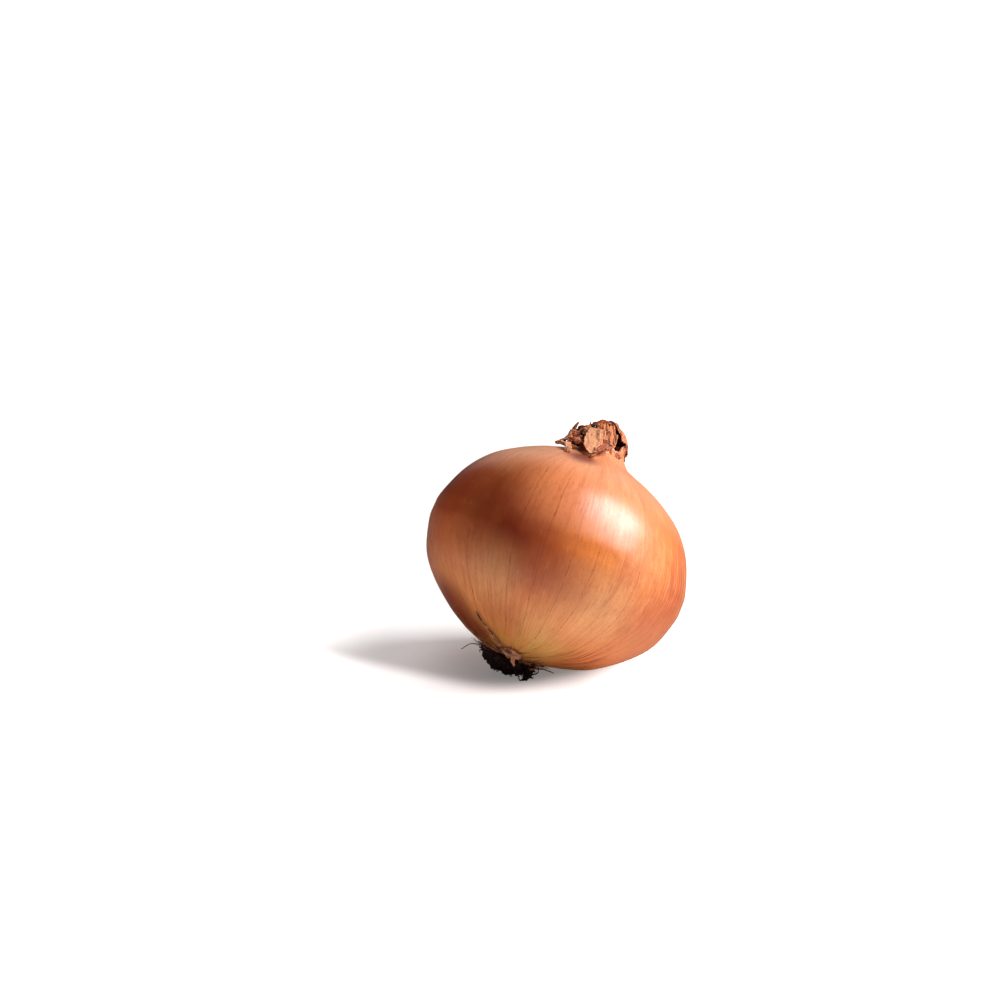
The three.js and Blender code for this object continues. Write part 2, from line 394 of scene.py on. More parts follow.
@dataclass(frozen=True)
class SkinFinish:
    """The bulb's papery skin: fine fibres and thin dark veins that run from the roots to the neck."""

    twist: float = 0.0935
    vein_map: str = "veins"
    vein_count: float = 31.0
    vein_wobble: float = 0.16
    vein_colour: str = "701E06"
    vein_strength: float = 0.85
    vein_depth: float = 0.2
    ground: tuple[tuple[float, str], ...] = (
        (0.25, "A84A1E"), (0.45, "BE5F2A"), (0.6, "CC7236"), (0.8, "DA884E"),
    )
    under_zones: tuple[Tint, ...] = (
        Tint(Height.UNEVEN, -0.2, -0.62, 0.5, "C8864E"),
        Tint(Height.UNEVEN, -0.6, -0.84, 0.7, "A88038"),
        # Lighter towards the neck: the skin's paler neck, and painted light where the shoulder faces the key
        # light.
        Tint(Height.EVEN, 0.3, 0.62, 0.8, "E09468"),
        Tint(Streaks.MOTTLE, 0.46, 0.3, 0.22, "E8A870"),
    )
    zones: tuple[Zone, ...] = (
        # Painted shade: deepens the dark red-brown on the upper left, where the bulb turns away from the key
        # light.
        Zone((-0.48, -0.88, 0.06), (0.12, 0.68), 0.94, "721C08"),
        # Painted light: a lighter patch on the upper front shoulder, where the key light falls strongly.
        Zone((-0.2, -0.88, 0.36), (0.08, 0.5), 0.7, "E88C58"),
        # Painted light: lighter tan on the lower left, for the light thrown up by the floor.
        Zone((-0.45, -0.75, -0.42), (0.08, 0.42), 0.55, "CC8E54"),
        Zone((0.5, -0.78, 0.24), (0.1, 0.4), 0.45, "E2A272"),
        Zone((0.85, -0.25, -0.42), (0.1, 0.7), 0.7, "B8704A"),
        Zone((0.55, -0.36, -0.62), (0.1, 0.4), 0.4, "C8743A"),
        # Painted light: a pale patch low on the front right, for the floor's glow on the skin.
        Zone((0.36, -0.84, -0.35), (0.1, 0.5), 0.65, "E6A568"),
        Zone((0.25, -0.96, -0.08), (0.1, 0.3), 0.5, "DB8038"),
        # Painted shade: these two darken the underside by the roots, where the bulb faces the floor and the
        # reflection of its own shadow.
        Zone((-0.56, -0.14, -0.66), (0.1, 0.38), 0.9, "742408"),
        Zone((-0.36, -0.18, -0.76), (0.06, 0.26), 0.9, "601A08"),
        Zone((-0.92, -0.35, 0.12), (0.1, 0.4), 0.8, "B03C0C"),
        Zone((-0.46, -0.35, 0.65), (0.05, 0.35), 0.45, "AE7E56"),
        Zone((0.12, -0.45, -0.72), (0.05, 0.3), 0.5, "BE9C54"),
        Zone((0.0, -0.62, -0.62), (0.04, 0.26), 0.5, "C89458"),
        Zone((-0.21, -0.55, -0.65), (0.05, 0.3), 0.35, "8E4410"),
        Zone((0.05, -0.93, -0.3), (0.03, 0.38), 0.45, "A0481C"),
        # Painted shadow of the pale front flap on the shoulder below it.
        Zone((-0.135, -0.47, 0.69), (0.04, 0.17), 0.95, "64200C"),
        Zone((0.92, -0.36, 0.1), (0.08, 0.45), 0.8, "9E3A1A", True),
        Zone((0.42, -0.27, -0.7), (0.07, 0.28), 1.0, "7A1A04", True),
    )
    over_zones: tuple[Tint, ...] = (
        Tint(Streaks.BROAD, 0.45, 0.75, 0.3, "B85E30"),
        Tint(Streaks.BANDS, 0.5, 0.8, 0.3, "AA4F24"),
        Tint(Streaks.MOTTLE, 0.5, 0.72, 0.28, "96401A"),
        Tint(Streaks.FINE, 0.4, 0.75, 0.22, "9A4520"),
        Tint(Streaks.FINEST, 0.45, 0.8, 0.16, "84391A"),
        Tint(Streaks.GRAIN, 0.52, 0.75, 0.4, "94421E"),
    )
    bumps: tuple[tuple[Streaks, float], ...] = (
        (Streaks.FINE, 0.5), (Streaks.FINEST, 0.35), (Streaks.GRAIN, 0.12),
    )

    def make(self) -> bpy.types.Material:
        """Makes the material.

        Returns:
            The material.
        """
        f = Finish("onion skin")
        place = f.onion_place()
        height = f.add("SeparateXYZ", {0: place}).outputs[2]
        turned = f.add("VectorRotate", {"Vector": place, "Angle": f.math("MULTIPLY", height, self.twist)},
                       rotation_type="Z_AXIS").outputs[0]
        flat = f.vector("MULTIPLY", turned, (1.0, 1.0, 0.0))
        ring = f.vector("NORMALIZE", flat)
        off_axis = f.vector("LENGTH", flat, result="Value")

        def fibres(around: float, along: float, detail: float) -> bpy.types.NodeSocket:
            """Streaks along the skin.

            Args:
                around: How fine they are around the bulb.
                along: How fine they are along it.
                detail: The noise's detail.

            Returns:
                A value from 0 to 1.
            """
            lift = f.add("CombineXYZ", {2: f.math("MULTIPLY", height, along)}).outputs[0]
            around_ring = f.vector("MULTIPLY", ring, (around, around, 0.0))
            return f.noise(f.vector("ADD", around_ring, lift), 1.0, detail, 0.6)

        mapped = f.add("SeparateXYZ", {0: f.add("UVMap", uv_map=self.vein_map).outputs[0]}).outputs[0]
        line = f.math("ADD", mapped, f.swing(f.noise(place, 3.5, 2.0), self.vein_wobble))
        gap = 2 * math.pi * BULB_RADIUS / self.vein_count

        def vein(count: float, offset: float, width: float) -> bpy.types.NodeSocket:
            """Thin lines that follow the main veins.

            Args:
                count: How many there are to each main vein.
                offset: How far they are moved, in parts of their gap.
                width: Their half width in millimetres.

            Returns:
                1 on a line and 0 off it.
            """
            index = f.math("FRACT", f.math("MULTIPLY_ADD", line, count, offset))
            off = f.math("SUBTRACT", 0.5, f.math("ABSOLUTE", f.math("SUBTRACT", index, 0.5)))
            distance = f.math("MULTIPLY", f.math("MULTIPLY", off, gap / count), off_axis)
            return f.span(distance, width * 0.35, width * 1.6, 1.0, 0.0)

        values = {streaks: fibres(*streaks.value) for streaks in Streaks}
        values[Height.EVEN] = height
        values[Height.UNEVEN] = f.math("ADD", height, f.swing(values[Streaks.BROAD], 0.35))

        def tinted(colour: bpy.types.NodeSocket, tints: Sequence[Tint]) -> bpy.types.NodeSocket:
            """Lays tints over a colour.

            Args:
                colour: The colour below.
                tints: The tints, from the lowest.

            Returns:
                The colour with the tints.
            """
            for tint in tints:
                share = f.span(values[tint.follows], tint.low, tint.high, 0.0, tint.strength)
                colour = f.tint(colour, tint.colour, share)
            return colour

        fading = f.span(height, 0.75, 0.2, 0.15, 1.0)
        unbroken = f.math("MULTIPLY_ADD", f.span(values[Streaks.VEIN_BREAKS], 0.36, 0.58), 0.3, 0.1)
        beaded = f.math("MULTIPLY_ADD", f.span(values[Streaks.VEIN_BEADS], 0.56, 0.68), 0.6, unbroken)
        main_veins = f.math("MULTIPLY", vein(1.0, 0.0, 0.13), f.math("MULTIPLY", fading, beaded))
        scattered = f.span(values[Streaks.SMALL_VEIN_BREAKS], 0.52, 0.66, 0.0, 0.28)
        veins = f.math("MAXIMUM", main_veins, f.math("MULTIPLY", vein(3.0, 0.37, 0.14), scattered))

        colour = tinted(f.ramp(f.noise(place, 1.7, 3.0, 0.55), self.ground), self.under_zones)
        patches = f.span(f.noise(place, 5.5, 3.0, 0.6), 0.15, 0.6, 0.7, 1.0)
        red_streaks = f.span(values[Streaks.RED], 0.44, 0.54)
        for zone in self.zones:
            away = f.vector("DISTANCE", place, zone.centre, result="Value")
            share = f.span(away, *zone.reach, zone.strength, 0.0)
            share = f.math("MULTIPLY", share, red_streaks if zone.streaky else patches)
            colour = f.tint(colour, zone.colour, share)
        colour = tinted(colour, self.over_zones)
        colour = f.tint(colour, self.vein_colour, f.math("MULTIPLY", veins, self.vein_strength))

        rough = f.math("ADD", f.span(values[Streaks.FINE], 0.3, 0.7, 0.27, 0.33),
                       f.span(values[Streaks.GRAIN], 0.3, 0.8, 0.0, 0.1))
        relief = f.math("MULTIPLY", main_veins, -self.vein_depth)
        for streaks, depth in self.bumps:
            relief = f.math("MULTIPLY_ADD", values[streaks], depth, relief)
        return f.finish(colour, rough, relief, (0.5, 0.12), Specular_IOR_Level=0.55)


@dataclass(frozen=True)
class LeafFinish:
    """Torn dry leaf: grain along it, and blotches where it has browned."""

    name: str
    light: str
    middle: str
    dark: str
    browned: float = 0.5
    roughness: float = 0.62
    leaf_map: str = "grain"
    grain_fineness: tuple[float, float, float] = (3.2, 0.35, 1.0)
    fibre_fineness: tuple[float, float, float] = (9.0, 1.2, 1.0)
    blotch_fineness: float = 420.0
    speck_fineness: float = 1900.0

    def make(self) -> bpy.types.Material:
        """Makes the material.

        Returns:
            The material.
        """
        f = Finish(self.name)
        uv = f.add("UVMap", uv_map=self.leaf_map).outputs[0]
        grain = f.noise(f.vector("MULTIPLY", uv, self.grain_fineness), 1.0, 4.0, 0.65)
        fibres = f.noise(f.vector("MULTIPLY", uv, self.fibre_fineness), 1.0, 2.0, 0.6)
        here = f.add("TexCoord").outputs["Object"]
        blotch = f.noise(here, self.blotch_fineness, 4.0, 0.6, 0.4)
        specks = f.noise(here, self.speck_fineness, 2.0, 0.6)
        edge = 0.62 - 0.24 * self.browned
        colour = f.tint(hue(self.light), self.middle, f.span(grain, 0.3, 0.7))
        colour = f.tint(colour, self.dark, f.span(blotch, edge, edge + 0.16, 0.0, 0.92))
        colour = f.tint(colour, self.dark, f.span(specks, 0.58, 0.72, 0.0, 0.5))
        relief = f.math("MULTIPLY", grain, 0.7)
        relief = f.math("MULTIPLY_ADD", fibres, 0.4, relief)
        relief = f.math("MULTIPLY_ADD", blotch, 0.6, relief)
        rough = f.span(grain, 0.2, 0.8, self.roughness - 0.08, self.roughness + 0.12)
        return f.finish(colour, rough, relief, (0.6, 0.2), Specular_IOR_Level=0.35)


@dataclass(frozen=True)
class RootFinish:
    """Dried root: dark and dull, with paler fibres."""

    name: str
    dark: str
    pale: str
    share: float
    roughness: float = 0.7
    lump_fineness: float = 520.0
    fibre_fineness: float = 1500.0

    def make(self) -> bpy.types.Material:
        """Makes the material.

        Returns:
            The material.
        """
        f = Finish(self.name)
        here = f.add("TexCoord").outputs["Object"]
        lumps = f.noise(here, self.lump_fineness, 3.0, 0.6)
        fibres = f.noise(here, self.fibre_fineness, 4.0, 0.7, 1.2)
        colour = f.tint(hue(self.dark), self.pale, f.span(lumps, self.share, self.share + 0.2))
        colour = f.tint(colour, self.dark, f.span(fibres, 0.5, 0.75, 0.0, 0.5))
        relief = f.math("MULTIPLY_ADD", fibres, 0.8, lumps)
        rough = f.span(fibres, 0.3, 0.7, self.roughness - 0.15, self.roughness + 0.1)
        return f.finish(colour, rough, relief, (0.8, 0.25), Specular_IOR_Level=0.4)


@dataclass(frozen=True)
class FloorFinish:
    """The plain pale surface that the onion lies on, with places and distances in millimetres.

    It glows weakly, for the camera and for diffuse light only. The glow fades round the onion, which gives
    the shadow its soft slanting edge, and grows again far off. Each of the sides is where more glow starts,
    where it is full, and how much it is. The camera and the reflections each see the surface in a tone of
    their own.
    """

    tone: str = "F2F1F0"
    cloud_tone: str = "E6E4E2"
    seen_tone: str = "C8C6C5"
    mirrored_tone: str = "3A3A3A"
    mirrored_share: float = 0.9
    lit_from: float = -26.0
    lit_to: float = -44.0
    shadow_tip: float = -21.0
    shadow_slope: float = 0.88
    shadow_round: float = 12.0
    glow: tuple[float, float] = (0.33, 0.9)
    glow_colour: tuple[float, float, float, float] = (1.0, 0.95, 0.94, 1.0)
    sides: tuple[tuple[float, float, float], ...] = (
        (0.0, 18.0, 0.4), (-24.0, -50.0, 0.12), (-54.0, -84.0, 0.35),
    )
    # Painted contact shadow: round this point, where the onion touches the floor, the glow is dimmed to a
    # share of itself.
    contact_shadow_centre: tuple[float, float, float] = (-18.0, -1.0, 0.0)
    contact_shadow_reach: tuple[float, float] = (10.0, 38.0)
    contact_shadow_glow: float = 0.6
    far_reach: tuple[float, float] = (120.0, 700.0)
    far_glow: float = 0.7
    bounce: float = 0.72

    def make(self) -> bpy.types.Material:
        """Makes the material.

        Returns:
            The material.
        """
        f = Finish("pale floor")
        metres = f.add("TexCoord").outputs["Object"]
        place = f.add("VectorMath", {0: metres, "Scale": 1 / MM}, operation="SCALE").outputs[0]
        side, depth, _ = f.add("SeparateXYZ", {0: place}).outputs
        beside_tip = f.math("SUBTRACT", side, self.shadow_tip)
        beside_tip = f.math("SQRT", f.math("MULTIPLY_ADD", beside_tip, beside_tip, self.shadow_round**2))
        depth = f.math("MULTIPLY_ADD", beside_tip, -self.shadow_slope, depth)
        glow = f.span(depth, self.lit_from, self.lit_to, *self.glow)
        for start, end, more in self.sides:
            glow = f.math("ADD", glow, f.span(side, start, end, 0.0, more))
        # Painted contact shadow: the glow dims near where the onion touches the floor.
        away = f.vector("DISTANCE", place, self.contact_shadow_centre, result="Value")
        glow = f.math("MULTIPLY", glow, f.span(away, *self.contact_shadow_reach, self.contact_shadow_glow, 1.0))
        glow = f.math("ADD", glow, f.span(away, *self.far_reach, 0.0, self.far_glow))
        rays = f.add("LightPath").outputs
        seen = f.math("MULTIPLY_ADD", rays["Is Diffuse Ray"], self.bounce, rays["Is Camera Ray"])
        cloud = f.noise(metres, 3.0, 3.0)
        colour = f.tint(hue(self.tone), self.cloud_tone, f.span(cloud, 0.3, 0.7, 0.0, 0.05))
        colour = f.tint(colour, self.seen_tone, rays["Is Camera Ray"])
        mirrored = f.math("MULTIPLY", rays["Is Glossy Ray"], self.mirrored_share)
        colour = f.tint(colour, self.mirrored_tone, mirrored)
        return f.finish(colour, 0.75, cloud, (0.05, 0.05), Specular_IOR_Level=0.2,
                        Emission_Color=self.glow_colour, Emission_Strength=f.math("MULTIPLY", glow, seen))


@dataclass(frozen=True)
class Wave:
    """Smooth unevenness: its depth in millimetres, how fine it is, and its place and drift in the noise."""

    depth: float
    fineness: float
    shift: tuple[float, float, float] = (0.0, 0.0, 0.0)
    drift: float = 0.0

    def at(self, place: Vector, height: float = 0.0) -> float:
        """How far it moves a surface at a place, or at a direction round the axis and a height."""
        x, y, z = self.shift
        return self.depth * noise.noise(place * self.fineness + Vector((x, y, z + height * self.drift)))


@dataclass
class Bulb:
    """The bulb in its outer skin, drawn up into the neck, which is torn off unevenly. In millimetres."""

    outline: tuple[tuple[float, float], ...] = (
        (0.000, -0.825), (0.162, -0.812), (0.262, -0.790), (0.350, -0.762), (0.435, -0.732), (0.585, -0.657),
        (0.790, -0.492), (0.920, -0.328), (0.992, -0.112), (1.000, 0.000), (0.988, 0.112), (0.900, 0.335),
        (0.770, 0.508), (0.610, 0.628), (0.455, 0.710), (0.320, 0.762), (0.240, 0.797),
    )
    neck: tuple[tuple[float, float], ...] = (
        (7.85, 33.4), (7.15, 34.6), (6.6, 36.0), (6.45, 37.4), (6.35, 38.8), (6.05, 40.1), (5.6, 40.2),
        (5.75, 38.8), (5.85, 37.2), (5.8, 35.6), (5.0, 34.2), (2.6, 33.9), (0.0, 33.8),
    )
    rim: tuple[tuple[float, float], ...] = (
        (-180, 37.5), (-130, 37.0), (-100, 35.8), (-60, 35.5), (-40, 36.3), (-27, 39.0), (-8, 40.4),
        (6, 40.0), (12, 38.6), (17, 36.3), (34, 35.7), (48, 35.8), (57, 37.6), (75, 38.6), (105, 38.4),
        (150, 37.8), (180, 37.5),
    )
    rim_from: float = 33.4
    rim_to: float = 40.2
    rim_waves: Wave = Wave(0.5, 5.0, (9, 9, 9))
    rim_nicks: Wave = Wave(0.35, 14.0)
    swell: Wave = Wave(0.3, 0.03, (1.1, 5.4, 2.7))
    flats: Wave = Wave(0.22, 2.2, drift=0.02)
    ribs: Wave = Wave(0.05, 9.0, (5, 1, 0), 0.03)
    neck_span: tuple[float, float] = (20.0, 38.0)
    neck_folds: Wave = Wave(0.55, 3.4, (0, 2, 0), 0.07)
    neck_pleats: Wave = Wave(0.3, 8.0, (4, 0, 0), 0.11)
    root_span: tuple[float, float] = (26.0, 31.0)
    root_creases: Wave = Wave(0.22, 7.0, (0, 6, 0), 0.1)
    pole: float = 3.0
    rows: int = 178
    columns: int = 288
    merge: float = 0.0001
    root_shift: float = 2.0
    root_shift_span: tuple[float, float] = (27.0, 32.5)
    twist: float = 5.36
    vein_azimuths: tuple[float, ...] = (-34.0, -22.5, -9.5, 3.0, 13.5, 26.0, 35.0)
    vein_gap: float = 12.1
    seed: int = 11

    def veins(self) -> list[float]:
        """The azimuths of all the main veins at the bulb's widest place.

        Returns:
            Rising azimuths. The last one is the first one, a turn on.
        """
        rng = random.Random(self.seed)
        places = list(self.vein_azimuths)
        end = places[0] + 360
        while end - places[-1] > 1.6 * self.vein_gap:
            places.append(places[-1] + self.vein_gap * rng.uniform(0.8, 1.2))
        return [*places, end]

    def vein_place(self, azimuths: Sequence[float], point: Vector) -> float:
        """Which vein a point is at, with the veins' twist taken out.

        Args:
            azimuths: The veins' azimuths.
            point: The point.

        Returns:
            The vein's number, with a fraction between veins.
        """
        azimuth = azimuth_of(point) + self.twist * point.z / BULB_RADIUS
        turned = (azimuth - azimuths[0]) % 360 + azimuths[0]
        return spread([(place, float(i)) for i, place in enumerate(azimuths)], turned)

    def relief(self, point: Vector) -> Vector:
        """Moves a point of the plain turned bulb to its place on the real, uneven one.

        Args:
            point: The point on the body of revolution.

        Returns:
            The point with swellings, ribs, neck folds and the torn rim.
        """
        azimuth, height = azimuth_of(point), point.z
        outward = Vector((point.x, point.y, 0.0)).normalized()
        turned = azimuth + self.twist * height / BULB_RADIUS
        around = round_axis(turned, 1.0, 0.0)
        folds = self.neck_folds.at(around, height) + abs(self.neck_pleats.at(around, height))
        off = self.swell.at(point) + self.flats.at(around, height) + self.ribs.at(around, height)
        off += folds * ease(height, *self.neck_span)
        off += self.root_creases.at(around, height) * ease(-height, *self.root_span)
        moved = point + outward * off * ease(point.xy.length, 0.0, self.pole)
        if height > self.rim_from:
            share = (height - self.rim_from) / (self.rim_to - self.rim_from)
            top = spread(self.rim, azimuth) + self.rim_waves.at(around)
            moved.z = self.rim_from + share * (top - self.rim_from + self.rim_nicks.at(around))
        moved.x -= self.root_shift * ease(-height, *self.root_shift_span)
        return moved

    def build(self, material: bpy.types.Material) -> bpy.types.Object:
        """Turns the outline, shapes it and maps its veins.

        Args:
            material: The skin.

        Returns:
            The bulb.
        """
        corners = [Vector((r * BULB_RADIUS, h * BULB_RADIUS)) for r, h in self.outline]
        corners += [Vector(corner) for corner in self.neck]
        bm = bmesh.new()
        line = [bm.verts.new((0.0, -max(p.x, 0.0), p.y))
                for p in (on_line(corners, i / self.rows) for i in range(self.rows + 1))]
        edges = [bm.edges.new(pair) for pair in zip(line, line[1:])]
        bmesh.ops.spin(bm, geom=line + edges, cent=(0, 0, 0), axis=(0, 0, 1), angle=2 * math.pi,
                       steps=self.columns, use_merge=True)
        bmesh.ops.remove_doubles(bm, verts=bm.verts, dist=self.merge)
        azimuths = self.veins()
        count = len(azimuths) - 1
        numbers = {vert: self.vein_place(azimuths, vert.co) for vert in bm.verts}
        layer = bm.loops.layers.uv.new(SkinFinish.vein_map)
        for face in bm.faces:
            own = self.vein_place(azimuths, face.calc_center_median())
            for loop in face.loops:
                number = numbers[loop.vert] if loop.vert.co.xy.length > 0.01 else own
                number += count * round((own - number) / count)
                loop[layer].uv = (number, loop.vert.co.z / BULB_RADIUS)
        for vert in bm.verts:
            vert.co = ONION_FRAME @ self.relief(vert.co)
            vert.co.z = max(vert.co.z, 0.0)
        bmesh.ops.recalc_face_normals(bm, faces=bm.faces)
        return seat(new_piece(bm, "onion_bulb", material), Slot.BULB_SKIN, "bulb")


@dataclass(frozen=True)
class Strip:
    """One torn strip of dry leaf, bent along a spine of azimuths, distances and heights. In millimetres."""

    spine: tuple[tuple[float, float, float], ...]
    widths: tuple[float, ...]
    facing: tuple[float, float]
    wrap: float = 0.0
    folds: float = 1.5
    fold_depth: float = 0.25
    crumple: float = 0.35
    tear: float = 0.3
    curl: float = 0.0
    cell: float = 0.32
    ahead: float = 0.02

    def place(self, across: float, along: float, seed: float) -> Vector:
        """Where a point of the flat strip goes.

        Args:
            across: From -1 to 1 across the strip.
            along: From 0 at its root to 1 at its tip.
            seed: What makes this strip's creases its own.

        Returns:
            The point in the onion's axes.
        """
        points = [round_axis(*corner) for corner in self.spine]
        notch = waver(across * 3.1 + seed, seed * 1.7, 2.2) + 0.6 * waver(across * 9.0, seed, 8.2)
        reach = along * (1.0 + self.tear * (0.55 * notch - 0.15))
        tangent = (on_line(points, reach + self.ahead) - on_line(points, reach - self.ahead)).normalized()
        azimuth, rise = self.facing[0], math.radians(self.facing[1])
        facing = round_axis(azimuth, math.cos(rise), math.sin(rise))
        normal = (facing - tangent * facing.dot(tangent)).normalized()
        side = tangent.cross(normal)

        steps = [(i / (len(self.widths) - 1), width) for i, width in enumerate(self.widths)]
        ragged = waver(math.copysign(5.0, across), along * 6.0 + seed, seed)
        ragged += 0.7 * waver(math.copysign(3.0, across), along * 19.0, seed)
        off = across * 0.5 * spread(steps, along) * (1.0 + self.tear * ragged * across * across)
        depth = 0.0
        if self.wrap:
            depth = -self.wrap * (1 - math.cos(off / self.wrap))
            off = self.wrap * math.sin(off / self.wrap)

        free = min(1.0, 0.35 + 1.6 * along)
        uneven = across + 0.7 * waver(across * 2.3, along * 1.2, seed)
        wave = math.sin(math.pi * self.folds * uneven + 4.0 * waver(along * 2.4, seed, 1.0))
        wave += 1.6 * waver(across * self.folds, along * 1.5, seed * 2)
        depth += free * self.fold_depth * wave + self.curl * abs(across) ** 3
        point = on_line(points, reach) + side * off + normal * depth
        coarse = noise.noise_vector(point * 0.42 + Vector((seed, 0, seed)))
        sharp = noise.noise_vector(point * 1.05 + Vector((0, seed, 4)))
        creases = Vector([0.35 - abs(value) for value in sharp])
        return point + (coarse * 0.9 + creases * 0.75) * self.crumple * free

    def size(self) -> tuple[int, int]:
        """Works out how finely the strip is divided.

        Returns:
            How many cells it has across and along.
        """
        points = [round_axis(*corner) for corner in self.spine]
        length = sum((b - a).length for a, b in zip(points, points[1:]))
        return max(4, round(max(self.widths) / self.cell)), max(8, round(length / self.cell))

    def add_to(self, bm: bmesh.types.BMesh, layer: bmesh.types.BMLayerItem, seed: float) -> None:
        """Adds the strip to a mesh.

        Args:
            bm: The mesh.
            layer: Its map for the grain.
            seed: What makes this strip's creases its own.
        """
        cells_across, cells_along = self.size()
        made = bmesh.ops.create_grid(bm, x_segments=cells_across, y_segments=cells_along, size=1.0)["verts"]
        flat = {vert: vert.co.copy() for vert in made}
        width = max(self.widths)
        for face in {face for vert in made for face in vert.link_faces}:
            for loop in face.loops:
                spot = flat[loop.vert]
                loop[layer].uv = (0.5 * spot.x * width + 17.0 * seed, 0.5 * spot.y * cells_along * self.cell)
        for vert, spot in flat.items():
            vert.co = ONION_FRAME @ self.place(spot.x, 0.5 * spot.y + 0.5, seed)


@dataclass
class Leaf:
    """One leaf end at the neck or the roots, made of one or more torn strips."""

    name: str
    nodes: tuple[str, ...]
    slot: Slot
    finish: LeafFinish
    strips: tuple[Strip, ...]
    thickness: float = 0.16
    seed: float = 1.0

    def build(self, materials: dict[LeafFinish, bpy.types.Material]) -> bpy.types.Object:
        """Makes the leaf and gives it its thickness.

        Args:
            materials: The material of each leaf finish.

        Returns:
            The leaf.
        """
        bm = bmesh.new()
        layer = bm.loops.layers.uv.new(LeafFinish.leaf_map)
        for i, strip in enumerate(self.strips):
            strip.add_to(bm, layer, self.seed + 2.37 * i)
        piece = new_piece(bm, self.name, materials[self.finish])
        wall = piece.modifiers.new("thickness", "SOLIDIFY")
        wall.thickness = self.thickness * MM
        wall.offset = 0.0
        return seat(piece, self.slot, *self.nodes)


PALE = LeafFinish("pale leaf", "DE9E76", "C8825A", "7A3A1E", 0.25)
DRY = LeafFinish("dry leaf", "CA8054", "A45A34", "4E1A0C", 0.6)
BROWN = LeafFinish("brown leaf", "AE5A30", "82381C", "3C120A", 0.5)
DARK = LeafFinish("dark leaf", "5E281A", "38140D", "1A0806", 0.75, 0.55)
SKIN_LEAF = LeafFinish("skin coloured leaf", "D48455", "B4643A", "5E2210", 0.55)
CHIP = LeafFinish("root chip", "C08A66", "9A6042", "5A2E1E", 0.4)

